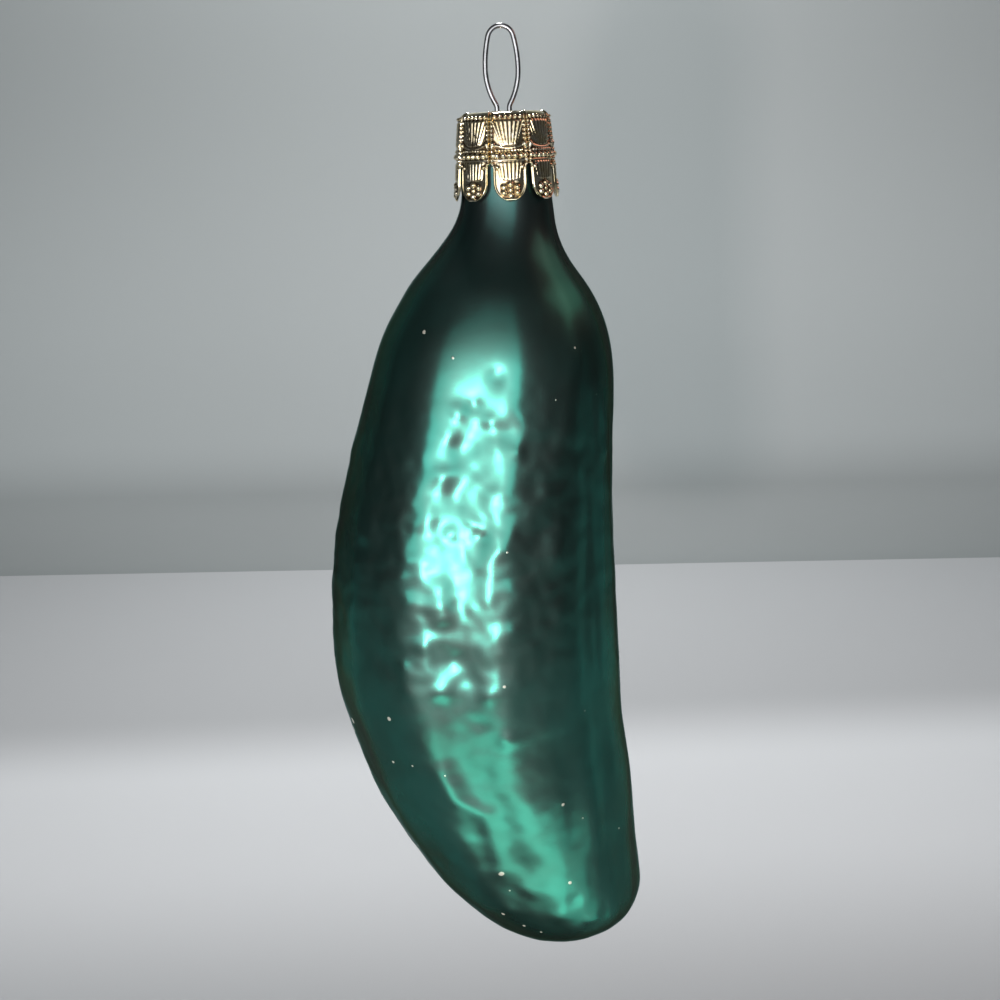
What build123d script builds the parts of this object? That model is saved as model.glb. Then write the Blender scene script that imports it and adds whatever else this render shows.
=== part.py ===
"""Hanging glass pickle ornament: a blown glass gherkin, its stamped crown cap and its spring wire hanger.

Millimetres. The origin is the inside of the top of the wire loop, where a hook bears. +Z is up along the
neck, +X is the side that the pickle bends back to at its tip, and -Y is the flatter front.
"""

import math
import os

from build123d import *

# Spring wire hanger.
wire_diameter = 0.6
loop_height = 9.1  # from the hook's bearing point down to the top of the cap
loop_top_radius = 1.5  # to the middle of the wire, as the other widths of the loop
loop_half_width = 1.9
loop_widest_drop = 4.7  # from the middle of the wire at the top down to the widest place
wire_half_pitch = 0.72  # half the distance between the two wires where they pass the cap
elbow_radius = 1.0
leg_length = 21.0  # from the top of the cap down to the ends of the legs
leg_clearance = 0.18  # between a leg and the glass round it, where they come closest
leg_bend_radius = 1.5

# Glass body.
glass_wall = 0.85
neck_radius = 5.1
neck_straight = 4.0  # the part of the neck that the cap grips, from the rim down
neck_length = 10.2  # from the rim down to the shoulder
neck_flare = 0.3  # how much wider the neck is where it meets the shoulder
rim_rounding = 0.45
shoulder_length = 55.1  # from the neck down to the widest place of the belly
tail_length = 42.2  # from the widest place of the belly down to the tip
body_width = 36.4
body_depth = 33.0
bow = 6.1  # how far the belly swings away from the neck's axis
tip_return = 4.2  # how far the tip comes back past the neck's axis
front_flat = 1.3  # how far the front is pressed in from a full oval
rib_height = 0.4

# Crown cap.
cap_sheet = 0.3
cap_clearance = 0.1  # between the neck and the cap round it
cap_height = 10.05
cap_edge_radius = 0.7
waist_drop = 4.5  # from the cap's top down to the narrow middle of each panel's pattern
petal_drop = 6.1  # from the cap's top down to where the petals part
waist_spread = 0.35  # how much wider than its top the cap is at the waist
tip_spread = 0.7  # and at the petals' tips
petal_width = 4.0
panel_shift = 1.5
wire_hole_clearance = 0.1

petal_count = 8
petal_turn = 6.0  # degrees from the front to the nearest petal's middle
ribs_per_fan = 5
section_points = 32
overrun = 1.0

# Of the cap's sheet: the radius of an embossed rib, of a bead, and how deep their middles lie in the sheet.
rib_radius_share = 0.75
bead_radius_share = 0.82
embossing_sink_share = 0.15
# Of a petal's width: half the fan of ribs at the waist.
fan_share = 0.3
# Down the shoulder: share of its length, of the bow, and of the growth from neck to belly.
shoulder_shares = [
    (0.013, 0.012, 0.013),
    (0.044, 0.065, 0.047),
    (0.086, 0.165, 0.140),
    (0.131, 0.250, 0.275),
    (0.173, 0.279, 0.416),
    (0.219, 0.295, 0.533),
    (0.282, 0.352, 0.652),
    (0.346, 0.410, 0.719),
    (0.437, 0.538, 0.777),
    (0.532, 0.697, 0.832),
    (0.624, 0.820, 0.879),
    (0.716, 0.921, 0.925),
    (0.810, 0.980, 0.965),
    (0.904, 1.0, 0.987),
    (1.0, 1.0, 1.0),
]
# Down the tail: share of its length, of the way from the belly back to the tip, and of the belly's width.
tail_shares = [
    (0.125, 0.021, 0.992),
    (0.255, 0.095, 0.962),
    (0.385, 0.205, 0.940),
    (0.520, 0.335, 0.890),
    (0.650, 0.493, 0.817),
    (0.755, 0.648, 0.753),
    (0.835, 0.800, 0.676),
    (0.897, 0.883, 0.588),
    (0.943, 0.930, 0.474),
    (0.974, 0.970, 0.336),
    (0.992, 0.990, 0.185),
]
# Of the shoulder: where the ribs start to rise. Of the tail: where they have faded out. Of the ribs: each fade.
rib_start_share = 0.165
rib_end_share = 0.9
rib_fade_share = 0.25
# Each set of long ribs: how many go round, its turn in degrees and its share of the rib height.
rib_set_shares = [(7, 34.0, 0.6), (11, 115.0, 0.4)]
# The pressed front: the middle of the flat in degrees, and its reach to each side.
flat_middle = -100.0
flat_reach = 38.0

cap_top = -loop_height
rim_level = cap_top - cap_sheet
plate_radius = neck_radius / 2
seat_radius = neck_radius + cap_clearance
embossing_radius = rib_radius_share * cap_sheet
bead_radius = bead_radius_share * cap_sheet
embossing_sink = embossing_sink_share * cap_sheet
# The panels swell outwards: each bends round its own line, panel_shift out from the neck's axis.
cap_radius = (
    panel_shift
    + math.sqrt(seat_radius**2 + panel_shift**2 - 2 * seat_radius * panel_shift * math.cos(math.pi / petal_count))
    + cap_sheet
)
neck_base = rim_level - neck_length
neck_base_radius = neck_radius + neck_flare
belly_level = neck_base - shoulder_length
tip_level = belly_level - tail_length
waist_level = cap_top - waist_drop
petal_level = cap_top - petal_drop
petal_tip_level = cap_top - cap_height
rib_levels = (
    neck_base - rib_start_share * shoulder_length,
    belly_level - rib_end_share * tail_length,
)


def body_stations():
    """Level, middle, half width and half depth of each slice through the glass, from the neck to the tip."""
    stations = [(neck_base, 0.0, neck_base_radius, neck_base_radius)]
    for drop, swing, growth in shoulder_shares:
        level = neck_base - drop * shoulder_length
        half_width = neck_base_radius + growth * (body_width / 2 - neck_base_radius)
        half_depth = neck_base_radius + growth * (body_depth / 2 - neck_base_radius)
        stations.append((level, -swing * bow, half_width, half_depth))
    for drop, swing, growth in tail_shares:
        level = belly_level - drop * tail_length
        middle = -bow + swing * (bow + tip_return)
        stations.append((level, middle, growth * body_width / 2, growth * body_depth / 2))
    return stations


def ease(value):
    """Goes smoothly from 0 to 1 as the value does."""
    value = min(max(value, 0.0), 1.0)
    return value * value * (3 - 2 * value)


def relief(angle, level):
    """How far the long ribs and the pressed front move the wall outwards at an angle round a slice."""
    top, bottom = rib_levels
    fading = rib_fade_share * (top - bottom)
    fade = ease((top - level) / fading) * ease((level - bottom) / fading)
    ribs = sum(
        share * math.cos(count * math.radians(angle - turn))
        for count, turn, share in rib_set_shares
    )
    away = math.remainder(angle - flat_middle, 360) / flat_reach
    return fade * (rib_height * ribs - front_flat * math.exp(-away * away))


def slice_wire(level, middle, half_width, half_depth):
    """One closed smooth slice through the body, as a front and a back curve that meet at the sides."""

    def at(angle):
        extra = relief(angle, level)
        x = middle + (half_width + extra) * math.cos(math.radians(angle))
        y = (half_depth + extra) * math.sin(math.radians(angle))
        return Vector(x, y, level)

    step = 360 / section_points
    directions = [at(side + 1) - at(side - 1) for side in (0, 180)]
    halves = []
    for side in (0, 180):
        points = [at(side + step * number) for number in range(section_points // 2 + 1)]
        start, end = (directions if side == 0 else directions[::-1])
        halves.append(Edge.make_spline(points, tangents=[start, end]))
    return Wire(halves)


def neck_ring(radius):
    """The round slice where the neck meets the shoulder, in the same two halves as the slices below it."""
    place = Plane((0, 0, neck_base))
    return Wire([Edge.make_circle(radius, place, 0, 180), Edge.make_circle(radius, place, 180, 360)])


def neck_tube():
    """The neck's wall: a rounded rim, a straight length that the cap grips, and a slight flare."""
    bore_radius = neck_radius - glass_wall
    straight_end = rim_level - neck_straight
    rim_edge = (neck_radius - rim_rounding, rim_level)
    rounded_end = (neck_radius, rim_level - rim_rounding)
    outline = (
        Polyline((bore_radius, straight_end), (bore_radius, rim_level), rim_edge)
        + RadiusArc(rim_edge, rounded_end, rim_rounding)
        + Line(rounded_end, (neck_radius, straight_end))
        + TangentArc((neck_radius, straight_end), (neck_base_radius, neck_base), tangent=(0, -1))
        + Line((neck_base_radius, neck_base), (neck_base_radius - glass_wall, neck_base))
        + TangentArc((bore_radius, straight_end), (neck_base_radius - glass_wall, neck_base), tangent=(0, -1))
    )
    return revolve(Plane.XZ * make_face(outline), Axis.Z)


def inner_stations():
    """The body's slices moved into the wall by its thickness, square to the wall."""
    stations = body_stations()
    profile = [(level, (half_width + half_depth) / 2) for level, _, half_width, half_depth in stations]
    profile.append((tip_level, 0.0))
    inner = []
    for number, (level, middle, half_width, half_depth) in enumerate(stations):
        before, after = profile[max(number - 1, 0)], profile[number + 1]
        down = before[0] - after[0]
        outwards = after[1] - before[1] if number else 0.0
        share = glass_wall / math.hypot(down, outwards)
        inwards = share * down
        inner.append((level - share * outwards, middle, half_width - inwards, half_depth - inwards))
    return inner


def glass_body():
    """The hollow blown glass: neck, shoulders, bent belly and tip."""
    outside = [slice_wire(*station) for station in body_stations()[1:]]
    inside = [slice_wire(*station) for station in inner_stations()[1:]]
    blown = Solid.make_loft([neck_ring(neck_base_radius), *outside, Vertex(tip_return, 0, tip_level)])
    hollow = Solid.make_loft(
        [neck_ring(neck_base_radius - glass_wall), *inside, Vertex(tip_return, 0, tip_level + glass_wall)]
    )
    return blown.cut(hollow) + neck_tube()


def skirt_radius(level):
    """The cap's outer radius at a level of its skirt."""
    if level > waist_level:
        share = (cap_top - cap_edge_radius - level) / (waist_drop - cap_edge_radius)
        return cap_radius + share * waist_spread
    share = (waist_level - level) / (waist_level - petal_tip_level)
    return cap_radius + waist_spread + share * (tip_spread - waist_spread)


def panel_sector():
    """One of the cap's equal swollen panels: its share of the plate's edge and of the skirt, on the +X side."""
    edge_level = cap_top - cap_edge_radius
    flat_radius = cap_radius - cap_edge_radius
    waist, tip = skirt_radius(waist_level), skirt_radius(petal_tip_level)
    outside = [(waist, waist_level), (tip, petal_tip_level)]
    inside = [(tip - cap_sheet, petal_tip_level), (waist - cap_sheet, waist_level)]
    outline = (
        Line((plate_radius, cap_top), (flat_radius, cap_top))
        + RadiusArc((flat_radius, cap_top), (cap_radius, edge_level), cap_edge_radius)
        + Polyline((cap_radius, edge_level), *outside, *inside, (cap_radius - cap_sheet, edge_level))
        + RadiusArc((cap_radius - cap_sheet, edge_level), (flat_radius, rim_level), cap_sheet - cap_edge_radius)
        + Polyline((flat_radius, rim_level), (plate_radius, rim_level), (plate_radius, cap_top))
    )
    turned = Rot(0, 0, -90) * revolve(Plane.XZ * make_face(Pos(-panel_shift, 0) * outline), Axis.Z, 180)
    reach = cap_radius + tip_spread + overrun
    spread = reach * math.tan(math.pi / petal_count)
    wedge = Pos(0, 0, petal_tip_level - overrun) * extrude(
        make_face(Polyline((0, 0), (reach, -spread), (reach, spread), (0, 0))), cap_height + 2 * overrun
    )
    return Pos(panel_shift, 0, 0) * turned & wedge


def petal_gaps():
    """What is cut away beside and below the round-ended petal on the +X side."""
    half = petal_width / 2
    reach = petal_width
    straight_end = petal_tip_level + half
    outline = Polyline(
        (-half, straight_end),
        (-half, petal_level),
        (-reach, petal_level),
        (-reach, petal_tip_level - overrun),
        (reach, petal_tip_level - overrun),
        (reach, petal_level),
        (half, petal_level),
        (half, straight_end),
    ) + ThreePointArc((half, straight_end), (0, petal_tip_level), (-half, straight_end))
    return extrude(Plane.YZ * make_face(outline), cap_radius + tip_spread + overrun)


def on_skirt(across, level):
    """The middle of an embossed rib or bead on the +X panel, that far across it and at that level."""
    radius = skirt_radius(level) - panel_shift - embossing_sink
    angle = across / radius
    return Vector(panel_shift + radius * math.cos(angle), radius * math.sin(angle), level)


def rib(start, end):
    """A round-ended rib between two points."""
    length = (end - start).length
    outline = (
        ThreePointArc(
            (0, -embossing_radius),
            (embossing_radius * math.sin(math.pi / 4), -embossing_radius * math.sin(math.pi / 4)),
            (embossing_radius, 0),
        )
        + Line((embossing_radius, 0), (embossing_radius, length))
        + ThreePointArc(
            (embossing_radius, length),
            (embossing_radius * math.sin(math.pi / 4), length + embossing_radius * math.sin(math.pi / 4)),
            (0, length + embossing_radius),
        )
        + Line((0, length + embossing_radius), (0, -embossing_radius))
    )
    upright = revolve(Plane.XZ * make_face(outline), Axis.Z)
    return Plane(origin=start, x_dir=(-1, 0, 0), z_dir=end - start) * upright


def embossing():
    """The bow-tie pattern of one panel: a fan of ribs above the waist, a fan below it, and beads."""
    waist_half = fan_share * petal_width
    open_half = petal_width / 2 - 2 * embossing_radius
    gap = 2 * bead_radius
    top_level = cap_top - cap_edge_radius - embossing_radius
    lower_level = petal_tip_level + petal_width / 2
    pieces = []
    for number in range(ribs_per_fan):
        share = 2 * number / (ribs_per_fan - 1) - 1
        near, far = share * waist_half, share * open_half
        pieces.append(rib(on_skirt(near, waist_level + gap), on_skirt(far, top_level)))
        pieces.append(rib(on_skirt(near, waist_level - gap), on_skirt(far, lower_level)))
    tip_middle = petal_tip_level + petal_width / 4
    beads = [(share * open_half, waist_level) for share in (-1, 0, 1)]
    beads += [(share * open_half / 2, tip_middle + bead_radius) for share in (-1, 1)]
    beads.append((0, tip_middle - bead_radius))
    pieces += [Pos(on_skirt(across, level)) * Sphere(bead_radius) for across, level in beads]
    return pieces


def crown_cap():
    """The stamped cap: plate with two wire holes, skirt, petals and their embossing."""
    panel = panel_sector() - petal_gaps() + embossing()
    turns = [Rot(0, 0, petal_turn - 90 + 360 * number / petal_count) for number in range(petal_count)]
    plate = Pos(0, 0, rim_level) * Cylinder(
        neck_radius - cap_edge_radius, cap_sheet, align=(Align.CENTER, Align.CENTER, Align.MIN)
    )
    hole_radius = wire_diameter / 2 + wire_hole_clearance
    for side in (-1, 1):
        plate -= Pos(side * wire_half_pitch, 0, cap_top) * Cylinder(hole_radius, 2 * overrun)
    return plate + [turn * panel for turn in turns]


def leg_splay(bend_level):
    """How far the legs lean out, in radians, to clear the glass all the way down, whichever way it is turned."""
    side = wire_half_pitch + wire_diameter / 2 + leg_clearance
    slopes = [
        (min(half_width - abs(middle), half_depth) - side) / (bend_level - level)
        for level, middle, half_width, half_depth in inner_stations()
        if level > cap_top - leg_length
    ]
    return math.atan(min(slopes))


def wire_half_path():
    """The wire's middle line on the +X side, from the top of the loop to the end of the leg."""
    wire_radius = wire_diameter / 2
    top_centre = wire_radius - loop_top_radius
    widest = (loop_half_width, wire_radius - loop_widest_drop)
    fall = top_centre - widest[1]
    side_radius = (fall**2 + loop_half_width**2 - loop_top_radius**2) / (
        2 * (loop_half_width - loop_top_radius)
    )
    lean = math.asin(fall / (side_radius - loop_top_radius))
    shoulder = (loop_top_radius * math.cos(lean), top_centre + loop_top_radius * math.sin(lean))
    crest_angle = (lean + math.pi / 2) / 2
    crest = (
        loop_top_radius * math.cos(crest_angle),
        top_centre + loop_top_radius * math.sin(crest_angle),
    )
    straight_top = (wire_half_pitch, cap_top + wire_radius)
    fall = widest[1] - straight_top[1]
    closing = 2 * math.atan((loop_half_width - wire_half_pitch) / fall)
    elbow = (
        wire_half_pitch + elbow_radius * (1 - math.cos(closing)),
        straight_top[1] + elbow_radius * math.sin(closing),
    )
    straight_end = (wire_half_pitch, rim_level - wire_radius)
    splay = leg_splay(straight_end[1])
    leg_top = (
        wire_half_pitch + leg_bend_radius * (1 - math.cos(splay)),
        straight_end[1] - leg_bend_radius * math.sin(splay),
    )
    leg_end_level = cap_top - leg_length
    leg_end = (leg_top[0] + (leg_top[1] - leg_end_level) * math.tan(splay), leg_end_level)
    return [
        ThreePointArc((0, wire_radius), crest, shoulder),
        RadiusArc(shoulder, widest, side_radius),
        TangentArc(widest, elbow, tangent=(0, -1)),
        TangentArc(straight_top, elbow, tangent=(0, 1)),
        Line(straight_top, straight_end),
        TangentArc(straight_end, leg_top, tangent=(0, -1)),
        Line(leg_top, leg_end),
    ]


def wire_hanger():
    """One bent wire: the loop above the cap and the two sprung legs that hold it in the neck."""
    half = Wire([edge for piece in wire_half_path() for edge in (Plane.XZ * piece).edges()])
    path = Wire([*half.edges(), *mirror(half, Plane.YZ).edges()])
    section = Plane(origin=path @ 0, z_dir=path % 0) * Circle(wire_diameter / 2)
    return sweep(section, path)


def write(name, shape):
    """Writes one piece and says its volume."""
    os.makedirs("parts", exist_ok=True)
    shape.label = name
    export_step(shape, os.path.join("parts", name + ".step"))
    print(name, "solids", len(shape.solids()), "volume", round(shape.volume, 1))


if __name__ == "__main__":
    write("glass_body", glass_body())
    write("crown_cap", crown_cap())
    write("wire_hanger", wire_hanger())
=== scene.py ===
"""Dresses the hanging glass pickle: green lacquer over silvered glass, a stamped gold cap, a steel wire."""

import math
from functools import reduce

import bmesh
import bpy
import numpy as np
from mathutils import Matrix, Vector, noise
from mathutils.bvhtree import BVHTree


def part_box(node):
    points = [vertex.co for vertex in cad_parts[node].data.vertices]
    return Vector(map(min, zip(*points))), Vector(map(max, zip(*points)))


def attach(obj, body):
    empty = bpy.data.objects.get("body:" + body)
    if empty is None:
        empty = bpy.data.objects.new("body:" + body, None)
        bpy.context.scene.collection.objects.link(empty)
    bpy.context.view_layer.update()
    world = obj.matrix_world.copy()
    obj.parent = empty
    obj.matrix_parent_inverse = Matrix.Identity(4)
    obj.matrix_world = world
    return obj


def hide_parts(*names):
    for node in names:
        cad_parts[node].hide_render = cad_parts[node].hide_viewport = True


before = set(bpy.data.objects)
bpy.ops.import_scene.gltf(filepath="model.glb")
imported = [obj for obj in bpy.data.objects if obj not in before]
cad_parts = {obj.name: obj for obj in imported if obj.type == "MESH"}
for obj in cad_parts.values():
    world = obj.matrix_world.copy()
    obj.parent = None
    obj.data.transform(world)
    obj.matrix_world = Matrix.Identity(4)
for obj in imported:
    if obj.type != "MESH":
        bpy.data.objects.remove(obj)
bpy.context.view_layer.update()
mm = 0.001

# The camera: where it stands, how far it looks down and leans, and its lens.
camera_place = Vector((-2.363, -158.0, -13.44)) * mm
camera_down = math.radians(15.07)
camera_lean = math.radians(-2.5)
camera_lens = 46.8
sensor_width = 36.0
nearest_seen = 5 * mm
picture_side = 1000  # of the photograph, in pixels

# Glass: how finely it is cut into faces, its wall and rim, and how far the CAD faces are smoothed.
glass_columns = 240
glass_rows = 300
bore_columns = 80
bore_rows = 60
rim_rows = 4
glass_wall = 0.85 * mm
rim_rounding = 0.45 * mm
outside_reach = 50 * mm  # a distance from the neck's axis that lies well outside the glass
trial_levels = 2000
smooth_harmonics = 22
smooth_rows = 2.5
smooth_reach = 11  # rows above and below a row that its smoothing takes in

# Cap, in millimetres.
petal_count = 8
petal_turn = math.radians(4.0)
cap_sheet = 0.3
cap_edge_radius = 1.1
stamp_sink = 0.14  # how far the sheet lies in from the solid cap's face, to leave room for its relief
waist_drop = 4.5  # from the cap's top down to the narrow middle of each panel
petal_drop = 6.1  # from the cap's top down to where the petals part
petal_parting = 0.3  # half the height over which a panel narrows to its petal
cap_height = 10.05
waist_spread = 0.35  # how much wider than its top the cap is at the waist
tip_spread = 0.7  # and at the petals' tips
petal_width = 4.0
panel_shift = -0.4  # how far the middle of a panel's curve lies from the neck's axis
panel_gap_share = 0.985  # of its share of the ring, how much a panel fills
seat_radius = 5.2  # the neck with its clearance
plate_radius = 2.9
plate_overlap = 0.4  # how far the panels reach in over the plate
plate_lift = 0.02  # how far the plate stands above the panels' inner ends
hole_radius = 0.4
hole_pitch = 0.72  # from the middle of the plate to each hole
edge_roll = 0.10  # how far a panel's edge is rolled in
edge_roll_width = 0.12
least_half_width = 0.02  # of a panel, at its very tip
relief_lean = 0.4  # radians of the edge's curve over which the stamping rises
panel_columns = 56
panel_rows = 150
lining_columns = 8
column_crowding = 0.93  # how much closer the columns lie towards a panel's edges, up to 1
hollow_reach = 3  # rows and columns round a point that tell whether it lies in a hollow
hollow_depth = 0.05
# The lining counts as half hollow, so it gets half the painted shade.
lining_hollow = 0.5
plate_sides = 96
hole_sides = 32

# The stamped pattern of a panel. Levels are down from the cap's top, heights above the plain sheet.
edge_ridge = (0.15, 0.12, 0.14)  # how far in from the edge, its width and its height
# Fans of flutes: start and end, half width at the start, how fast it narrows, flutes and their height.
flute_fans = [(1.05, 4.05, 1.66, 0.30, 6, 0.14), (5.62, 7.85, 1.26, 0.14, 5, 0.12)]
fan_bow = 0.12  # how fast a fan's lower end curves up to its sides
fan_end_fade = 0.22
fan_side_fade = 0.06
least_fan_width = 0.2
flute_roundness = 0.75
fan_ridge = (1.12, 0.09, 0.10)  # how far out, as a share of the fan's half width, then its width and height
# Ridges across a panel: level, how fast it curves up to its sides, width and height.
cross_ridges = [(4.18, 0.12, 0.09, 0.13), (5.50, 0.0, 0.08, 0.10)]
ridge_margin = 0.3  # how far from the panel's edges they end
# Rows of beads across a panel: how many, their spacing, level, radius and height.
bead_rows = [
    (6, 0.60, 0.74, 0.22, 0.24),
    (9, 0.38, 4.42, 0.16, 0.19),
    (5, 0.72, 5.00, 0.35, 0.36),
    (2, 3.00, 6.25, 0.22, 0.22),
]
# The chain of beads down each edge, and the two larger ones in it.
chain_start = 1.0
chain_end = 6.16
chain_spacing = 0.47
chain_radius = 0.21
chain_height = 0.25
knot_levels = (3.75, 4.95)
knot_radius = 0.31
knot_inset = 0.34
knot_height = 0.34
# The flower of beads on a petal.
flower_level = 8.78
flower_beads = 6
flower_half_width = 0.92
flower_half_height = 0.62
flower_bead_radius = 0.33
flower_bead_height = 0.30
flower_middle_radius = 0.28
flower_middle_height = 0.24


# The camera and what it sees.


def camera_matrix():
    """Where the camera stands and how it is turned."""
    turn = Matrix.Rotation(math.pi / 2 - camera_down, 4, "X") @ Matrix.Rotation(camera_lean, 4, "Z")
    return Matrix.Translation(camera_place) @ turn


def add_camera():
    """The photograph's viewpoint, close to the ornament and level with its cap."""
    data = bpy.data.cameras.new("viewpoint")
    data.lens = camera_lens
    data.sensor_width = sensor_width
    data.clip_start = nearest_seen
    camera = bpy.data.objects.new("viewpoint", data)
    camera.matrix_world = camera_matrix()
    bpy.context.scene.collection.objects.link(camera)
    bpy.context.scene.camera = camera


def tree_of(node):
    """A search tree over a CAD node's faces."""
    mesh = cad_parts[node].data
    corners = [vertex.co.copy() for vertex in mesh.vertices]
    return BVHTree.FromPolygons(corners, [tuple(face.vertices) for face in mesh.polygons])


glass_tree = tree_of("glass_body")


def seen_at(pixel):
    """The point of the glass that the camera sees at a pixel of the photograph."""
    reach = camera_lens / sensor_width * picture_side
    across = (pixel[0] - picture_side / 2) / reach
    up = (picture_side / 2 - pixel[1]) / reach
    direction = camera_matrix().to_3x3() @ Vector((across, up, -1.0))
    hit = glass_tree.ray_cast(camera_place, direction.normalized())[0]
    if hit is None:
        raise ValueError(f"no glass at pixel {pixel}")
    return np.array(hit)


# Meshes.


def add_piece(name, points, faces, material):
    """A smooth piece from its points and faces, its normals pointing outwards."""
    mesh = bpy.data.meshes.new(name)
    mesh.from_pydata([tuple(point) for point in points], [], faces)
    mesh.update()
    mesh.polygons.foreach_set("use_smooth", [True] * len(mesh.polygons))
    mesh.materials.append(material)
    piece = bpy.data.objects.new(name, mesh)
    bpy.context.scene.collection.objects.link(piece)
    return piece


# Materials.


class Amount:
    """A number that varies over a surface. Sums written with it add Math nodes."""

    def __init__(self, finish, socket):
        self.finish = finish
        self.socket = socket

    def maths(self, operation, *terms):
        node = self.finish.node("ShaderNodeMath", {"operation": operation}, dict(enumerate(terms)))
        return Amount(self.finish, node.outputs[0])

    def __add__(self, other):
        return self.maths("ADD", self, other)

    def __radd__(self, other):
        return self.maths("ADD", other, self)

    def __sub__(self, other):
        return self.maths("SUBTRACT", self, other)

    def __rsub__(self, other):
        return self.maths("SUBTRACT", other, self)

    def __mul__(self, other):
        return self.maths("MULTIPLY", self, other)

    def __rmul__(self, other):
        return self.maths("MULTIPLY", other, self)

    def most(self, other):
        return self.maths("MAXIMUM", self, other)

    def step(self, start, end):
        """Goes smoothly from 0 at start to 1 at end."""
        settings = {"interpolation_type": "SMOOTHSTEP"}
        node = self.finish.node(
            "ShaderNodeMapRange", settings, {"Value": self, "From Min": start, "From Max": end}
        )
        return Amount(self.finish, node.outputs["Result"])


class Finish:
    """One material, and a short way to add nodes to it."""

    def __init__(self, name):
        self.material = bpy.data.materials.new(name)
        self.material.use_nodes = True
        self.tree = self.material.node_tree
        self.tree.nodes.clear()
        self.place = self.node("ShaderNodeTexCoord").outputs["Object"]

    def node(self, kind, settings=None, values=None):
        """Adds a node, with its settings first and then the values or links of its sockets."""
        node = self.tree.nodes.new(kind)
        for name, value in (settings or {}).items():
            setattr(node, name, value)
        for name, value in (values or {}).items():
            if isinstance(value, Amount):
                value = value.socket
            if isinstance(value, bpy.types.NodeSocket):
                self.tree.links.new(value, node.inputs[name])
            else:
                node.inputs[name].default_value = value
        return node

    def grain(self, size, detail=2.0, roughness=0.5, place=None):
        """Cloudy noise about 0.5, with clouds of a size in metres."""
        values = {"Vector": place or self.place, "Scale": 1 / size}
        values |= {"Detail": detail, "Roughness": roughness}
        return Amount(self, self.node("ShaderNodeTexNoise", None, values).outputs["Fac"])

    def along(self, axis):
        """Where a point of the surface is along X, Y or Z, in metres."""
        return Amount(self, self.node("ShaderNodeSeparateXYZ", None, {0: self.place}).outputs[axis])

    def distance(self, point):
        """How far a point of the surface is from a given one, in metres."""
        values = {0: self.place, 1: tuple(point)}
        node = self.node("ShaderNodeVectorMath", {"operation": "DISTANCE"}, values)
        return Amount(self, node.outputs["Value"])

    def blend(self, share, first, second):
        """A colour between two colours."""
        settings = {"data_type": "RGBA", "clamp_factor": True}
        node = self.node("ShaderNodeMix", settings, {0: share, 6: colour(first), 7: colour(second)})
        return node.outputs[2]

    def bump(self, height, distance, strength=1.0, normal=None):
        """Small relief of a height, a number from 0 to 1, that rises by a distance in metres."""
        values = {"Height": height, "Distance": distance, "Strength": strength}
        if normal is not None:
            values["Normal"] = normal
        return self.node("ShaderNodeBump", None, values).outputs["Normal"]

    def done(self, shader):
        """Puts the shader on the material and gives the material back."""
        self.node("ShaderNodeOutputMaterial", None, {"Surface": shader.outputs[0]})
        return self.material


def colour(value):
    """A colour with its alpha, or a socket as it is."""
    return (*value, 1.0) if isinstance(value, tuple) and len(value) == 3 else value


# Pixels of the photograph where the lacquer is chipped off, each with its size in millimetres; the three
# along the bottom edge are not chips but a painted reflection in the same silver.
chip_pixels = [
    (424, 332, 0.22),
    (575, 348, 0.17),
    (580, 345, 0.12),
    (581, 351, 0.15),
    (596, 394, 0.18),
    (556, 400, 0.15),
    (353, 721, 0.45),
    (354, 729, 0.50),
    (389, 719, 0.30),
    (393, 762, 0.22),
    (445, 775, 0.20),
    (457, 799, 0.22),
    (501.5, 872.6, 0.42),
    (499, 864, 0.22),
    (563, 805, 0.18),
    (570, 883, 0.18),
    # Painted reflection: these three along the bottom edge stand for the bright reflection there.
    (503, 914, 0.30),
    (524, 926, 0.22),
    (541, 932, 0.26),
    (619, 828, 0.18),
    (504, 687, 0.25),
    (507, 552, 0.22),
]

# The lacquer where it is thick and thin, near black towards the neck as painted shade, its tint seen edge
# on, and the silver under its chips, which also paints a bright reflection along the bottom edge.
thick_green = (0.008, 0.130, 0.098)
thin_green = (0.012, 0.190, 0.148)
neck_green = (0.006, 0.050, 0.055)
bare_silver = (0.62, 0.60, 0.52)
edge_green = (0.04, 0.20, 0.17)
neck_levels = (-34 * mm, -17 * mm)
specks_per_metre = 260.0

# The cap's gold, where it is deep and pale, and the dark brown painted as shade in its hollows.
deep_gold = (0.90, 0.74, 0.44)
pale_gold = (0.97, 0.89, 0.70)
tarnished_gold = (0.15, 0.095, 0.045)

dull_steel = (0.27, 0.275, 0.29)
bright_steel = (0.44, 0.45, 0.46)


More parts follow.
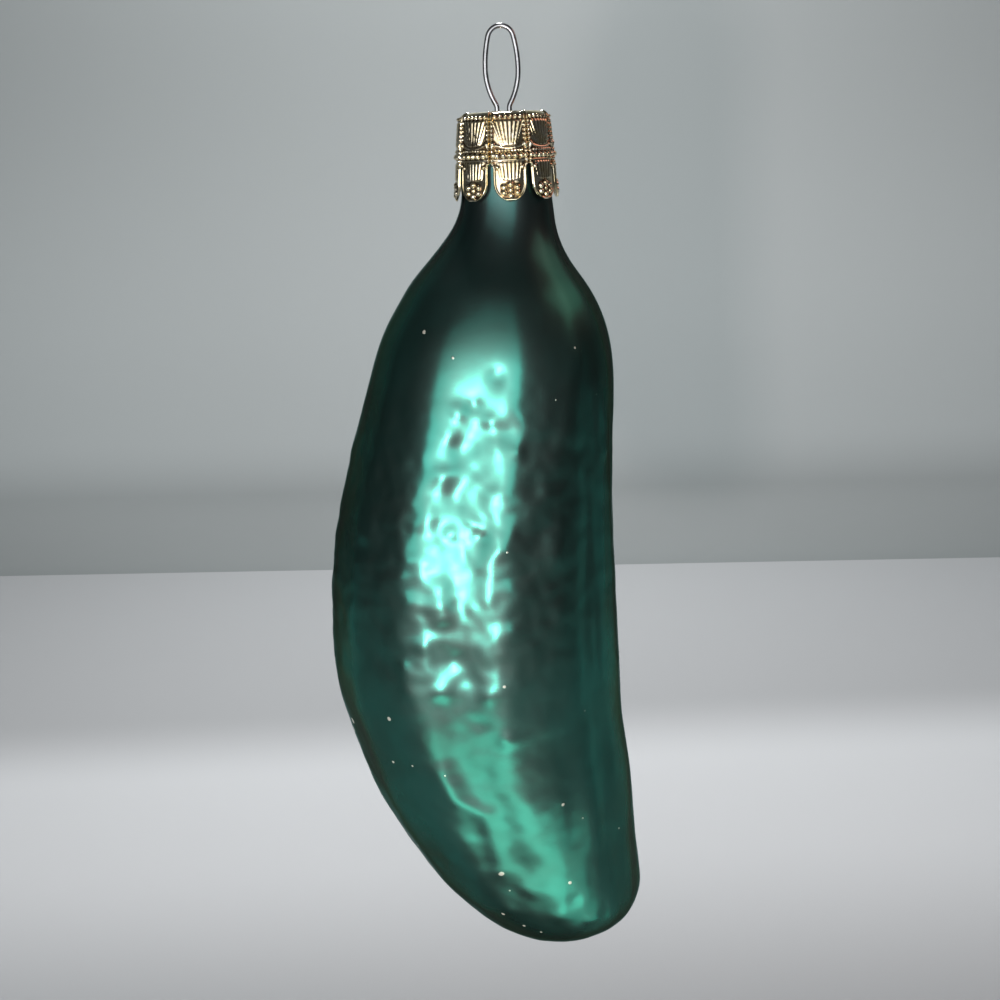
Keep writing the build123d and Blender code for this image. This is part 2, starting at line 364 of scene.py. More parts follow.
def green_lacquer():
    """Satin green lacquer over silvered glass: fine grain, mottling, thin places, chips and specks, with
    painted shade towards the neck and a painted reflection along the bottom edge.
    """
    finish = Finish("green_lacquered_glass")
    broad = finish.grain(9 * mm, 3.0, 0.55)
    middle = finish.grain(1.6 * mm, 4.0, 0.6)
    fine = finish.grain(0.16 * mm, 2.0, 0.6)
    # Painted shade: towards the neck the lacquer darkens to near black, standing in for the dark it reflects
    # there.
    neck = finish.along("Z").step(*neck_levels)
    thin = (broad * 0.8 + middle * 0.2).step(0.34, 0.68)
    green = finish.blend(thin, thick_green, thin_green)
    green = finish.blend(neck * 0.75, green, neck_green)
    ragged = (middle - 0.42) * (0.7 * mm)
    # Chips show the silver under the lacquer; along the bottom edge the same silver is a painted reflection.
    chips = []
    for across, down, size in chip_pixels:
        far = finish.distance(seen_at((across, down))) + ragged
        chips.append(far.step(size * 1.15 * mm, size * 0.8 * mm))
    spread = {"Vector": finish.place, "Scale": specks_per_metre}
    cells = finish.node("ShaderNodeTexVoronoi", {"feature": "F1"}, spread)
    speck = Amount(finish, cells.outputs["Distance"]).step(0.055, 0.035)
    worn = reduce(Amount.most, chips, speck * finish.grain(6 * mm).step(0.56, 0.62))
    body = finish.blend(worn, green, bare_silver)
    satin = 0.19 + 0.04 * middle + 0.05 * fine
    facing = Amount(finish, finish.node("ShaderNodeLayerWeight", None, {"Blend": 0.5}).outputs["Facing"])
    normal = finish.bump(fine, 0.003 * mm)
    normal = finish.bump(middle, 0.006 * mm, 0.8, normal)
    normal = finish.bump(worn, 0.05 * mm, 0.6, normal)
    shader = finish.node(
        "ShaderNodeBsdfPrincipled",
        None,
        {
            "Base Color": body,
            "Metallic": 1 - 0.55 * worn,
            "Roughness": satin + 0.1 * worn,
            "Specular Tint": colour(edge_green),
            "Coat Weight": 1.0 - facing,
            "Coat Roughness": 0.42,
            "Coat IOR": 1.6,
            "Normal": normal,
        },
    )
    return finish.done(shader)


def stamped_gold():
    """Thin sheet plated a pale gold, left bright on its beads, with dark brown painted as shade in its
    hollows and on its lining.
    """
    finish = Finish("gold_cap_metal")
    cloud = finish.grain(1.1 * mm, 3.0, 0.6)
    fine = finish.grain(0.12 * mm, 3.0, 0.6)
    hollow = Amount(finish, finish.node("ShaderNodeAttribute", {"attribute_name": "hollow"}).outputs["Fac"])
    # Painted shade: the hollows and the lining darken to brown, spread a little by cloudy noise.
    tarnish = (hollow + 0.30 * cloud).step(0.30, 1.10)
    gold = finish.blend(cloud.step(0.35, 0.7), deep_gold, pale_gold)
    body = finish.blend(tarnish, gold, tarnished_gold)
    normal = finish.bump(fine, 0.004 * mm)
    normal = finish.bump(cloud, 0.03 * mm, 1.0, normal)
    values = {
        "Base Color": body,
        "Metallic": 1.0,
        "Roughness": 0.05 + 0.18 * tarnish + 0.05 * cloud,
        "Normal": normal,
    }
    return finish.done(finish.node("ShaderNodeBsdfPrincipled", None, values))


def drawn_steel():
    """Bright spring wire with fine lines along it and faint dull patches."""
    finish = Finish("spring_wire")
    along = finish.node("ShaderNodeMapping", None, {"Vector": finish.place, "Scale": (1.0, 1.0, 0.08)})
    lines = finish.grain(0.09 * mm, 2.0, 0.5, along.outputs[0])
    patches = finish.grain(2.2 * mm, 3.0, 0.6)
    steel = finish.blend(patches.step(0.35, 0.7), dull_steel, bright_steel)
    shader = finish.node(
        "ShaderNodeBsdfPrincipled",
        None,
        {
            "Base Color": steel,
            "Metallic": 1.0,
            "Roughness": 0.16 + 0.14 * patches,
            "Normal": finish.bump(lines, 0.006 * mm),
        },
    )
    return finish.done(shader)


def matt_paper(name, tint, axis, first_grey, changes):
    """Matt background card with a trace of tooth, whose tinted grey changes softly along an axis."""
    finish = Finish(name)
    tooth = finish.grain(0.7 * mm, 3.0)
    shade = tuple(first_grey * share for share in tint)
    for start, end, grey in changes:
        next_shade = tuple(grey * share for share in tint)
        shade = finish.blend(finish.along(axis).step(start, end), shade, next_shade)
    values = {"Base Color": shade, "Roughness": 0.9, "Normal": finish.bump(tooth, 0.02 * mm, 0.3)}
    return finish.done(finish.node("ShaderNodeBsdfPrincipled", None, values))


# Glass.

# Pixels of the photograph: warts and dimples of the front, with their radius and height in millimetres.
front_warts = [
    (458, 407, 1.0, 0.30),
    (450, 431, 1.1, 0.18),
    (497, 371, 1.0, -0.30),
    (474, 401, 0.8, -0.22),
    (491, 416, 0.8, 0.24),
    (508, 427, 1.3, -0.38),
    (518, 448, 0.7, 0.18),
    (465, 445, 1.4, -0.15),
    (444, 472, 1.2, 0.30),
    (453, 489, 1.2, -0.16),
    (474, 518, 0.8, 0.20),
    (451, 530, 0.9, 0.26),
    (481, 534, 1.0, -0.26),
    (500, 548, 0.9, 0.16),
    (462, 553, 0.9, -0.14),
    (425, 642, 0.9, 0.20),
    (452, 655, 1.2, -0.20),
    (442, 688, 1.0, 0.25),
    (489, 691, 1.0, 0.25),
    (466, 672, 1.2, -0.22),
    (508, 735, 1.0, 0.24),
    (478, 718, 1.3, -0.20),
    (530, 884, 1.2, 0.26),
    (510, 905, 0.9, 0.18),
    (560, 911, 0.9, 0.24),
    (592, 914, 0.9, 0.26),
    (575, 895, 0.9, -0.20),
    (545, 862, 1.3, -0.08),
]
# Long forms of the front, each from pixel to pixel: radius and height in millimetres.
front_folds = [
    ([(440, 592), (443, 616)], 1.5, 0.36),
    ([(404, 668), (408, 694)], 1.0, 0.14),
    ([(441, 773), (456, 800), (486, 815), (492, 840), (501, 869)], 1.4, 0.26),
    ([(426, 792), (444, 820), (472, 838), (478, 864)], 2.2, -0.12),
    ([(577, 359), (572, 395), (569, 432)], 1.4, 0.12),
    ([(596, 384), (603, 418), (606, 449)], 1.3, 0.13),
    ([(557, 528), (556, 562)], 1.2, 0.12),
    ([(548, 330), (538, 400), (534, 500), (534, 600), (538, 700)], 2.6, -0.12),
    ([(568, 740), (573, 785), (576, 840)], 2.0, -0.16),
    ([(589, 735), (592, 780), (597, 840)], 1.7, 0.14),
]
wart_spread = 1.15
wart_rise = 0.72
wart_shift = 5  # pixels from where a wart shines down to its middle
# Low lumps all over, and long streaks instead of most of them on the +X side.
lump_size = 3.2 * mm
lump_height = 0.15 * mm
small_lump_share = 0.45
lump_share_on_right = 0.4
streak_stretch = (1.6, 1.0, 0.16)
streak_height = 0.13 * mm
right_start = 4 * mm
right_width = 5 * mm
# They fade out up the shoulder, and by half towards the tail.
relief_top = -36 * mm
relief_fade = 14 * mm
tail_top = -78 * mm
tail_fade = 10 * mm
# Warts of a fixed seed, on the half of the glass that faces +Y.
back_wart_seed = 5
back_wart_count = 90
back_wart_levels = (-112 * mm, -38 * mm)
back_wart_turns = (0.02, 0.48)
back_wart_radius = (0.9, 1.6)
back_wart_height = (0.12, 0.28)
back_wart_signs = (-0.5, 1, 1)


def outline_levels():
    """Levels from below the rounded rim to just above the tip, evenly spaced along the wall."""
    low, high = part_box("glass_body")
    top = high.z - rim_rounding
    levels = top - (top - low.z) * np.linspace(0, 1, trial_levels)
    half = np.array([half_width(z) for z in levels[:-1]] + [0.0])
    wall = np.concatenate([[0], np.cumsum(np.hypot(np.diff(levels), np.diff(half)))])
    return np.interp(np.linspace(0, wall[-1], glass_rows + 1), wall, levels)[:-1]


def edge_at(level, side):
    """Where the glass ends at a level, on its +X or -X side."""
    hit = glass_tree.ray_cast(Vector((side * outside_reach, 0, level)), Vector((-side, 0, 0)))[0]
    return hit.x if hit else tip_point()[0]


def tip_point():
    """The lowest point of the glass."""
    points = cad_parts["glass_body"].data.vertices
    return np.array(min(points, key=lambda point: point.co.z).co)


def half_width(level):
    """Half the width of the glass at a level."""
    return (edge_at(level, 1) - edge_at(level, -1)) / 2


def glass_grid():
    """Points on the outside of the glass, row by row from the neck to the tip, made smooth."""
    tip = tip_point()
    rows = []
    angles = np.arange(glass_columns) * 2 * math.pi / glass_columns
    for level in outline_levels():
        middle = (edge_at(level, 1) + edge_at(level, -1)) / 2
        reach = np.empty(glass_columns)
        for number, angle in enumerate(angles):
            away = Vector((math.cos(angle), math.sin(angle), 0))
            centre = Vector((middle, 0, level))
            reach[number] = (glass_tree.ray_cast(centre + outside_reach * away, -away)[0] - centre).length
        waves = np.fft.rfft(reach)
        waves[smooth_harmonics:] = 0
        reach = np.fft.irfft(waves, glass_columns)
        across, deep = middle + reach * np.cos(angles), reach * np.sin(angles)
        rows.append(np.stack([across, deep, np.full(glass_columns, level)], 1))
    rows = np.array(rows)
    tips = np.broadcast_to(tip, (1, glass_columns, 3))
    # Past the tip the surface goes on up the other side, and above the neck it goes on straight.
    spare = smooth_reach + 1
    other_side = np.roll(rows[::-1], glass_columns // 2, axis=1)[:spare]
    step = rows[0] - rows[1]
    above = np.array([rows[0] + step * number for number in range(spare, 0, -1)])
    whole = np.concatenate([above, rows, tips, other_side])
    weights = np.exp(-0.5 * (np.arange(-smooth_reach, smooth_reach + 1) / smooth_rows) ** 2)
    weights /= weights.sum()
    count = len(rows) + 1
    smooth = sum(weight * whole[shift : shift + count] for shift, weight in enumerate(weights, 1))
    smooth[-1] = smooth[-1].mean(0)
    return smooth


def grid_normals(grid):
    """Outward normals of the grid's points."""
    around = np.roll(grid, -1, axis=1) - np.roll(grid, 1, axis=1)
    down = np.gradient(grid, axis=0)
    normals = np.cross(down, around)
    normals[-1] = (0, 0, -1)
    length = np.linalg.norm(normals, axis=2, keepdims=True)
    normals = normals / np.maximum(length, 1e-12)
    middle = grid.mean(1, keepdims=True)
    flip = np.sign(((grid - middle) * normals).sum(2, keepdims=True).mean())
    normals[:-1] *= flip
    return normals


def to_path(points, path):
    """How far each point is from a path of straight runs."""
    nearest = np.full(points.shape[:-1], np.inf)
    for start, end in zip(path, path[1:]):
        along = end - start
        share = np.clip(((points - start) @ along) / (along @ along), 0, 1)
        nearest = np.minimum(nearest, np.linalg.norm(points - start - share[..., None] * along, axis=-1))
    return nearest


def crest(away):
    """The rise of a soft bump or ridge, at a distance given in its widths: 1 at the middle."""
    return np.exp(-(away**2))


def cloudy(grid, stretch, size, shift):
    """Soft noise over the grid's points, from -1 to 1."""
    shift = Vector(shift)
    grid = grid * np.array(stretch)
    return np.array([[noise.noise(Vector(point) / size + shift) for point in row] for row in grid])


def pickle_skin(grid):
    """How far the warts, dimples, folds and lumps move each point of the grid outwards."""
    rise = np.zeros(grid.shape[:2])
    for across, down, radius, height in front_warts:
        away = np.linalg.norm(grid - seen_at((across, down + wart_shift)), axis=2)
        rise += height * wart_rise * mm * crest(away / (radius * wart_spread * mm))
    for pixels, radius, height in front_folds:
        away = to_path(grid, [seen_at(pixel) for pixel in pixels])
        rise += height * mm * crest(away / (radius * mm))
    level = grid[..., 2]
    fade = np.clip((relief_top - level) / relief_fade, 0, 1)
    fade = fade * (0.5 + 0.5 * np.clip((level - tail_top) / tail_fade, 0, 1))
    lumps = cloudy(grid, (1, 1, 1), lump_size, (0, 0, 0))
    small = cloudy(grid, (1, 1, 1), 0.5 * lump_size, (7, 3, 1))
    streaks = cloudy(grid, streak_stretch, 0.6 * lump_size, (2, 5, 3))
    right = np.clip((grid[..., 0] - right_start) / right_width, 0, 1)
    lumpy = (1 - (1 - lump_share_on_right) * right) * lump_height * (lumps + small_lump_share * small)
    rise += fade * (lumpy + right * streak_height * streaks)
    chance = np.random.default_rng(back_wart_seed)
    levels = chance.uniform(*back_wart_levels, back_wart_count)
    for row in [np.argmin(np.abs(level.mean(1) - z)) for z in levels]:
        column = int(chance.uniform(*back_wart_turns) * glass_columns)
        radius = chance.uniform(*back_wart_radius) * mm
        height = chance.choice(back_wart_signs) * chance.uniform(*back_wart_height) * mm
        away = np.linalg.norm(grid - grid[row, column], axis=2)
        rise += height * crest(away / radius)
    return rise


def closed_wall(base, rows, columns, tip):
    """Faces of a wall of rings, from its first point's number, and of the fan that closes it at the tip."""
    faces = []
    for row in range(rows):
        for column in range(columns):
            near = base + row * columns + column
            far = base + row * columns + (column + 1) % columns
            if row < rows - 1:
                faces.append((near, near + columns, far + columns, far))
            else:
                faces.append((near, tip, far))
    return faces


def blown_glass(material):
    """The pickle: its outer wall with all its skin, the rounded rim, and the silvered bore inside."""
    smooth = glass_grid()
    normals = grid_normals(smooth)
    skin = pickle_skin(smooth)
    skin[-1] = skin[-1].mean()
    outer = smooth + skin[..., None] * normals
    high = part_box("glass_body")[1].z
    radius = np.linalg.norm(outer[0][:, :2], axis=1).mean()
    angles = np.arange(glass_columns) * 2 * math.pi / glass_columns
    ring = np.stack([np.cos(angles), np.sin(angles), np.zeros(glass_columns)], 1)
    rim = []
    for number in range(rim_rows):
        turn = math.pi / 2 * number / rim_rows
        reach = radius - rim_rounding * (1 - math.sin(turn))
        row = ring * reach
        row[:, 2] = high - rim_rounding * (1 - math.cos(turn))
        rim.append(row)
    rows = np.concatenate([rim, outer[:-1]])
    points = [*rows.reshape(-1, 3), outer[-1, 0]]
    faces = closed_wall(0, len(rows), glass_columns, len(points) - 1)
    faces += bore(points, smooth, normals, high)
    return add_piece("pickle_glass", points, faces, material)


def bore(points, smooth, normals, high):
    """Adds the inside wall's points and gives its faces, from the rim down to the tip."""
    step = glass_columns // bore_columns
    picked = np.linspace(0, glass_rows - 1, bore_rows).round().astype(int)
    inside = smooth[picked][:, ::step] - glass_wall * normals[picked][:, ::step]
    mouth = inside[0].copy()
    mouth[:, 2] = high
    rows = np.concatenate([mouth[None], inside])
    base = len(points)
    points += [*rows.reshape(-1, 3), smooth[-1, 0] + np.array((0, 0, glass_wall))]
    faces = []
    half = (step + 1) // 2
    for column in range(bore_columns):
        edge = [(column * step + number) % glass_columns for number in range(step + 1)]
        near, far = base + column, base + (column + 1) % bore_columns
        faces += [(one, other, near) for one, other in zip(edge[:half], edge[1 : half + 1])]
        faces.append((edge[half], far, near))
        faces += [(one, other, far) for one, other in zip(edge[half:], edge[half + 1 :])]
    wall = closed_wall(base, len(rows), bore_columns, len(points) - 1)
    return faces + [tuple(reversed(face)) for face in wall]


# Cap.


def hill(away):
    """A round rise: 1 at the middle, 0 from a radius away."""
    return np.sqrt(np.clip(1 - away**2, 0, 1))


def fan(across, place, start, end, wide, narrowing, flutes, high):
    """A fan of rounded flutes that draw together downwards, with a thin ridge at each side."""
    spread = np.maximum(wide - narrowing * (place - start), least_fan_width)
    share = np.abs(across) / spread
    top = np.clip((place - start) / fan_end_fade, 0, 1)
    ends = top * np.clip((end - fan_bow * across**2 - place) / fan_end_fade, 0, 1)
    inside = np.clip((1.0 - share) / fan_side_fade, 0, 1)
    round_top = np.abs(np.sin(math.pi * (across / spread + 1) * flutes / 2)) ** flute_roundness
    ridge_share, ridge_width, ridge_height = fan_ridge
    ridge = ridge_height * crest((share - ridge_share) * spread / ridge_width)
    return ends * (high * inside * round_top + ridge)


def beads(across, place, middles, radius, high):
    """Round beads at their middles, each a place across the panel and a level."""
    near = [np.hypot(across - side, place - level) for side, level in middles]
    return high * hill(np.minimum.reduce(near) / radius)


def stamping(across, place, edge):
    """How far the pattern stands out, from places across the panel, one down it, and the way to its edge."""
    inset, width, high = edge_ridge
    parts = [high * crest((edge - inset) / width)]
    parts += [fan(across, place, *sizes) for sizes in flute_fans]
    for level, curve, width, high in cross_ridges:
        parts.append(high * crest((place + curve * across**2 - level) / width) * (edge > ridge_margin))
    for count, spacing, level, radius, high in bead_rows:
        middles = [((number - (count - 1) / 2) * spacing, level) for number in range(count)]
        parts.append(beads(across, place, middles, radius, high))
    chain = np.hypot(edge - chain_radius, (place - chain_start) % chain_spacing - chain_spacing / 2)
    chain = hill(chain / chain_radius) * (place > chain_start) * (place < chain_end)
    parts.append(chain_height * chain)
    knots = [(knot_inset, level) for level in knot_levels]
    parts.append(beads(edge, place, knots, knot_radius, knot_height))
    turns = (np.arange(flower_beads) + 0.5) * 2 * math.pi / flower_beads
    sides = flower_half_width * np.cos(turns)
    levels = flower_level - flower_half_height * np.sin(turns)
    parts.append(beads(across, place, zip(sides, levels), flower_bead_radius, flower_bead_height))
    parts.append(beads(across, place, [(0, flower_level)], flower_middle_radius, flower_middle_height))
    return np.maximum.reduce(parts)


def hollows(rise):
    """How far each point lies below its neighbours on the panel, from 0 to 1."""
    wide = np.pad(rise, hollow_reach, mode="edge")
    rows, columns = rise.shape
    around = range(2 * hollow_reach + 1)
    shifted = [wide[down : down + rows, across : across + columns] for down in around for across in around]
    return np.clip((sum(shifted) / len(shifted) - rise) / hollow_depth, 0, 1)


def skirt_radius(drop):
    """The skirt's outer radius at a drop below the cap's top, at the middle of a panel."""
    seam = math.pi / petal_count
    to_seam = seat_radius**2 + panel_shift**2 - 2 * seat_radius * panel_shift * math.cos(seam)
    cap_radius = panel_shift + math.sqrt(to_seam) + cap_sheet
    if drop < waist_drop:
        return cap_radius + (drop - cap_edge_radius) / (waist_drop - cap_edge_radius) * waist_spread
    lower = (drop - waist_drop) / (cap_height - waist_drop)
    return cap_radius + waist_spread + lower * (tip_spread - waist_spread)


def panel_profile():
    """The panel's middle line from plate to tip: radius, drop, lean, and the level of its pattern there."""
    flat = skirt_radius(cap_edge_radius) - cap_edge_radius
    quarter = math.pi / 2 * cap_edge_radius
    over_plate = flat - plate_radius + plate_overlap
    whole = over_plate + quarter + cap_height - cap_edge_radius
    profile = []
    for place in np.linspace(0, whole, panel_rows + 1):
        if place < over_plate:
            row = (flat - over_plate + place, 0.0, 0.0)
        elif place < over_plate + quarter:
            turn = (place - over_plate) / cap_edge_radius
            radius = flat + cap_edge_radius * math.sin(turn)
            row = (radius, cap_edge_radius * (1 - math.cos(turn)), turn)
        else:
            drop = cap_edge_radius + place - over_plate - quarter
            row = (skirt_radius(drop), drop, math.pi / 2)
        profile.append((*row, cap_edge_radius + place - over_plate - quarter))
    return profile


def half_panel(radius, drop):
    """Half the panel's width at a drop: its share of the ring, or of the round-ended petal below it."""
    swell = radius - panel_shift
    seam = math.pi / petal_count
    to_seam = panel_shift * math.cos(seam) + math.sqrt(swell**2 - (panel_shift * math.sin(seam)) ** 2)
    ring = swell * math.asin(to_seam * math.sin(seam) / swell) * panel_gap_share
    petal = petal_width / 2
    share = min(max((drop - petal_drop + petal_parting) / (2 * petal_parting), 0), 1)
    half = ring + (min(petal, ring) - ring) * share * share * (3 - 2 * share)
    left = cap_height - drop
    if left < petal:
        half = min(half, math.sqrt(max(petal**2 - (petal - left) ** 2, 0)))
    return max(half, least_half_width)


def petal_mesh(material):
    """One panel with its petal along +X, as a closed sheet, and how hollow each of its points is."""
    points, faces, rises = [], [], []
    outside = panel_columns + 1
    ring = outside + lining_columns + 1
    crowded = math.pi / 2 * column_crowding
    shares = np.sin(np.linspace(-1, 1, outside) * crowded) / math.sin(crowded)
    for radius, drop, lean, place in panel_profile():
        half = half_panel(radius, drop)
        across = shares * half
        edge = np.minimum(half - np.abs(across), max(cap_height - drop, 0.0))
        rise = stamping(across, place, edge) * min(lean / relief_lean, 1.0)
        rises.append(rise)
        swell = radius - panel_shift
        turn = across / swell
        out = rise - edge_roll * crest(edge / edge_roll_width) - stamp_sink
        away = swell + out * math.sin(lean)
        level = -drop + out * math.cos(lean)
        points += zip(panel_shift + away * np.cos(turn), away * np.sin(turn), level)
        turns = np.linspace(turn[-1], turn[0], lining_columns + 1)
        inner = swell - cap_sheet * math.sin(lean)
        low = -drop - cap_sheet * math.cos(lean)
        points += [(panel_shift + inner * math.cos(angle), inner * math.sin(angle), low) for angle in turns]
    for row in range(panel_rows):
        for column in range(ring):
            near, far = row * ring + column, row * ring + (column + 1) % ring
            faces.append((near, near + ring, far + ring, far))
    faces.append(tuple(range(ring)))
    faces.append(tuple(reversed(range(panel_rows * ring, (panel_rows + 1) * ring))))
    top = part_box("crown_cap")[1].z
    placed = [(x * mm, y * mm, z * mm + top) for x, y, z in points]
    lining = ((0, 0), (0, lining_columns + 1))
    hollow = np.pad(hollows(np.array(rises)), lining, constant_values=lining_hollow)
    return add_piece("petal", placed, faces, material), list(hollow.ravel())


def node_group_input(group, name, kind, value):
    """Adds a named input to a Geometry Nodes group."""
    socket = group.interface.new_socket(name, in_out="INPUT", socket_type=kind)
    if value is not None:
        socket.default_value = value
    return socket


def ring_of_petals(material):
    """A Geometry Nodes tree that sets one petal round the neck, as many times as there are petals."""
    group = bpy.data.node_groups.new("ring_of_petals", "GeometryNodeTree")
    node_group_input(group, "Geometry", "NodeSocketGeometry", None)
    node_group_input(group, "Petals", "NodeSocketInt", petal_count)
    node_group_input(group, "First petal's turn", "NodeSocketFloat", 0.0)
    group.interface.new_socket("Geometry", in_out="OUTPUT", socket_type="NodeSocketGeometry")
    add, link = group.nodes.new, group.links.new
    given, result = add("NodeGroupInput"), add("NodeGroupOutput")
    line = add("GeometryNodeMeshLine")
    line.inputs["Offset"].default_value = (0, 0, 0)
    link(given.outputs["Petals"], line.inputs["Count"])
    number = add("GeometryNodeInputIndex")
    share = add("ShaderNodeMath")
    share.operation = "DIVIDE"
    link(number.outputs[0], share.inputs[0])
    link(given.outputs["Petals"], share.inputs[1])
    turn = add("ShaderNodeMath")
    turn.operation = "MULTIPLY_ADD"
    link(share.outputs[0], turn.inputs[0])
    turn.inputs[1].default_value = 2 * math.pi
    link(given.outputs["First petal's turn"], turn.inputs[2])
    round_neck = add("ShaderNodeCombineXYZ")
    link(turn.outputs[0], round_neck.inputs["Z"])
    copies = add("GeometryNodeInstanceOnPoints")
    link(line.outputs["Mesh"], copies.inputs["Points"])
    link(given.outputs["Geometry"], copies.inputs["Instance"])
    link(round_neck.outputs[0], copies.inputs["Rotation"])
    real = add("GeometryNodeRealizeInstances")
    link(copies.outputs[0], real.inputs[0])
    dress = add("GeometryNodeSetMaterial")
    dress.inputs["Material"].default_value = material
    link(real.outputs[0], dress.inputs["Geometry"])
    link(dress.outputs[0], result.inputs[0])
    return group


def settled(piece, name):
    """The piece as its modifiers leave it, as a plain mesh under a new name."""
    bpy.context.view_layer.update()
    result = piece.evaluated_get(bpy.context.evaluated_depsgraph_get())
    mesh = bpy.data.meshes.new_from_object(result)
    mesh.name = name
    made = bpy.data.objects.new(name, mesh)
    bpy.context.scene.collection.objects.link(made)
    bpy.data.objects.remove(piece)
    return made


def cap_plate(material):
    """The round top of the cap, with its two wire holes."""
    work = bmesh.new()
    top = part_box("crown_cap")[1].z

    def loop(radius, middle, sides):
        corners = [
            work.verts.new((middle + radius * math.cos(angle), radius * math.sin(angle), 0))
            for angle in np.arange(sides) * 2 * math.pi / sides
        ]
        for one, other in zip(corners, corners[1:] + corners[:1]):
            work.edges.new((one, other))

    loop(plate_radius * mm, 0, plate_sides)
    for side in (-1, 1):
        loop(hole_radius * mm, side * hole_pitch * mm, hole_sides)
    bmesh.ops.triangle_fill(work, use_beauty=True, edges=work.edges[:])
    bmesh.ops.recalc_face_normals(work, faces=work.faces[:])
    mesh = bpy.data.meshes.new("plate")
    work.to_mesh(mesh)
    work.free()
    mesh.materials.append(material)
    plate = bpy.data.objects.new("plate", mesh)
    bpy.context.scene.collection.objects.link(plate)
    thick = plate.modifiers.new("sheet", "SOLIDIFY")
    thick.thickness = cap_sheet * mm
    thick.offset = 0
    plate = settled(plate, "plate")
    level = top - (cap_sheet / 2 + stamp_sink - plate_lift) * mm
    plate.data.transform(Matrix.Translation((0, 0, level)))
    return plate


def joined(name, pieces):
    """Several pieces as one mesh."""
    work = bmesh.new()
    for piece in pieces:
        work.from_mesh(piece.data)
    mesh = bpy.data.meshes.new(name)
    work.to_mesh(mesh)
    work.free()
    for material in pieces[0].data.materials:
        mesh.materials.append(material)
    made = bpy.data.objects.new(name, mesh)
    bpy.context.scene.collection.objects.link(made)
    for piece in pieces:
        bpy.data.objects.remove(piece)
    return made


def stamped_cap(material):
    """The whole cap: eight stamped panels with their petals, and the plate."""
    petal, hollow = petal_mesh(material)
    group = ring_of_petals(material)
    repeat = petal.modifiers.new("ring", "NODES")
    repeat.node_group = group
    sizes = {item.name: item.identifier for item in group.interface.items_tree if item.in_out == "INPUT"}
    repeat[sizes["Petals"]] = petal_count
    repeat[sizes["First petal's turn"]] = petal_turn - math.pi / 2
    panels = settled(petal, "panels")
    cap = joined("stamped_cap", [panels, cap_plate(material)])
    cap.data.polygons.foreach_set("use_smooth", [True] * len(cap.data.polygons))
    plain = [0.0] * (len(cap.data.vertices) - petal_count * len(hollow))
    shade = cap.data.attributes.new("hollow", "FLOAT", "POINT")
    shade.data.foreach_set("value", hollow * petal_count + plain)
    return cap


# Stage and light.

floor_level = -139 * mm
floor_front = -1600 * mm
wall_place = 248 * mm
wall_top = 1200 * mm
wall_skew = 0.08
stage_reach = 1800 * mm
corner_radius = 20 * mm
corner_steps = 12
# Each card's tint and first grey, then its changes: from and to a place on its axis, and the next grey. The
# floor's first grey is a painted shadow under and in front of the ornament.
floor_tint = (0.96, 1.0, 1.03)
floor_grey = 0.33
floor_changes = [(-20 * mm, 60 * mm, 0.63), (90 * mm, 125 * mm, 0.40)]
# Painted shade on the wall: darkest at its foot by the bend, and dimmer again towards the top where the back
# lamp falls brighter.
wall_tint = (0.91, 1.0, 1.01)
wall_grey = 0.25
wall_changes = [(floor_level, -100 * mm, 0.48), (-70 * mm, 30 * mm, 0.37)]

# The panel in front, in bands that grow dimmer upwards: bottom, top and brightness.
front_bands = [
    (-130 * mm, 10 * mm, 3.3),
    (10 * mm, 60 * mm, 2.4),
    (60 * mm, 130 * mm, 1.5),
    (130 * mm, 220 * mm, 0.9),
    (220 * mm, 430 * mm, 0.4),
]
front_width = 800 * mm
front_place = (-200 * mm, -500 * mm)
# The two glowing cards under the ornament: place, width, depth and brightness.
card_lights = [
    ("low_card", (-5 * mm, -62 * mm), 78 * mm, 26 * mm, 2.9),
    ("low_glow", (-3 * mm, -62 * mm), 110 * mm, 52 * mm, 0.8),
]
card_turn = math.radians(35)
card_tint = (0.85, 1.0, 0.86)
card_lift = 4 * mm
# The single lamps: place and target in metres, width, height, power in watts, tint and spread in degrees.
lamps = [
    ("spark", (-0.075, -0.33, -0.105), (0, -0.01, -0.05), 0.026, 0.026, 0.080, (1.0, 0.84, 0.82), 70),
    ("right_glow", (0.345, 0.040, 0.190), (0.006, 0, -0.03), 0.34, 0.16, 0.034, (1.0, 0.46, 0.38), 70),
    ("back_lamp", (0, 0.15, 0.30), (0, 0.185, -0.139), 0.06, 0.06, 0.64, (1.0, 1.0, 1.0), 110),
]
room_grey = (0.050, 0.053, 0.056)


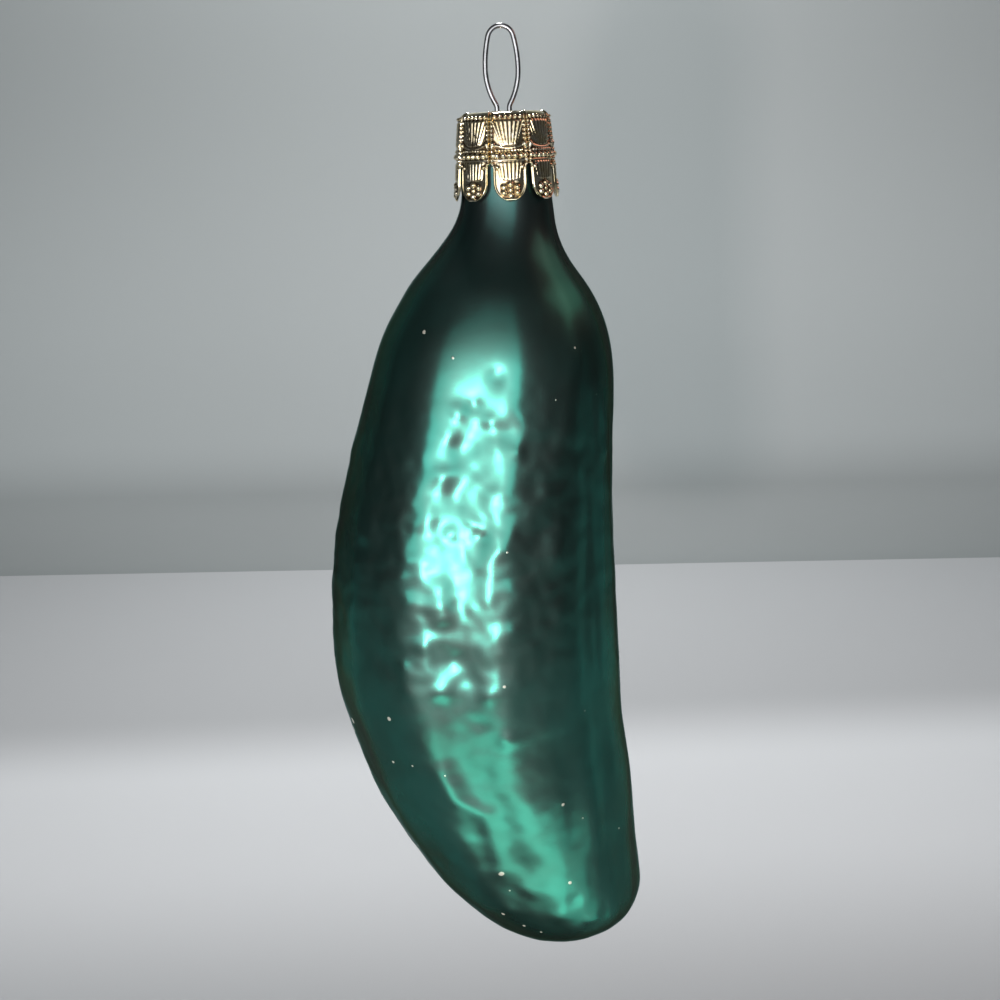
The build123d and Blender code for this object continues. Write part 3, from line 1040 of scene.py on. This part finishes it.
def add_stage():
    """A pale floor, with a painted shadow under and in front of the ornament, that turns up into a pale grey
    wall behind it, with painted shade at its foot.
    """
    floor = [(floor_front, floor_level), (wall_place - corner_radius, floor_level)]
    wall = []
    for number in range(corner_steps + 1):
        turn = math.pi / 2 * number / corner_steps
        back = corner_radius * (1 - math.sin(turn))
        wall.append((wall_place - back, floor_level + corner_radius * (1 - math.cos(turn))))
    wall.append((wall_place, wall_top))
    papers = (
        ("floor", floor, matt_paper("floor_card_with_painted_shadow", floor_tint, "Y", floor_grey, floor_changes)),
        ("wall", wall, matt_paper("wall_card_with_painted_shade", wall_tint, "Z", wall_grey, wall_changes)),
    )
    for name, profile, paper in papers:
        points, faces = [], []
        for y, z in profile:
            points += [(side * stage_reach, y - side * stage_reach * wall_skew, z) for side in (-1, 1)]
        for row in range(len(profile) - 1):
            faces.append((2 * row, 2 * row + 1, 2 * row + 3, 2 * row + 2))
        add_piece(name, points, faces, paper)


def add_lamp(name, place, target, width, height, power, tint=(1.0, 1.0, 1.0), spread=180):
    """A soft rectangular lamp that faces a target and isn't seen itself."""
    data = bpy.data.lights.new(name, "AREA")
    data.shape = "RECTANGLE"
    data.size, data.size_y = width, height
    data.energy = power
    data.color = tint
    data.spread = math.radians(spread)
    lamp = bpy.data.objects.new(name, data)
    lamp.location = place
    lamp.rotation_euler = (Vector(target) - Vector(place)).to_track_quat("-Z", "Y").to_euler()
    lamp.visible_camera = False
    bpy.context.scene.collection.objects.link(lamp)
    return lamp


def add_light():
    """A broad soft panel in front, two cards low down that shine upwards, single lamps, and a dim room."""
    for bottom, top, strength in front_bands:
        height = top - bottom
        place = Vector((*front_place, (bottom + top) / 2))
        power = strength * math.pi * front_width * height
        add_lamp("front_band", place, place + Vector((0, 1, 0)), front_width, height, power)
    for name, (x, y), width, depth, strength in card_lights:
        power = strength * math.pi * width * depth
        card = add_lamp(name, (x, y, floor_level + card_lift), (x, y, 0), width, depth, power, card_tint)
        card.rotation_euler = (math.pi, 0, card_turn)
    for lamp in lamps:
        add_lamp(*lamp)
    world = bpy.data.worlds.new("room")
    world.use_nodes = True
    back = world.node_tree.nodes["Background"]
    back.inputs["Color"].default_value = colour(room_grey)
    back.inputs["Strength"].default_value = 1.0
    bpy.context.scene.world = world


add_camera()
add_stage()
add_light()

pickle_glass = blown_glass(green_lacquer())
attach(pickle_glass, "glass")
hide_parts("glass_body")

gold_cap = stamped_cap(stamped_gold())
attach(gold_cap, "cap")
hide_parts("crown_cap")

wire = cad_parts["wire_hanger"]
wire.data.materials.clear()
wire.data.materials.append(drawn_steel())

bpy.context.scene.view_settings.view_transform = "Standard"
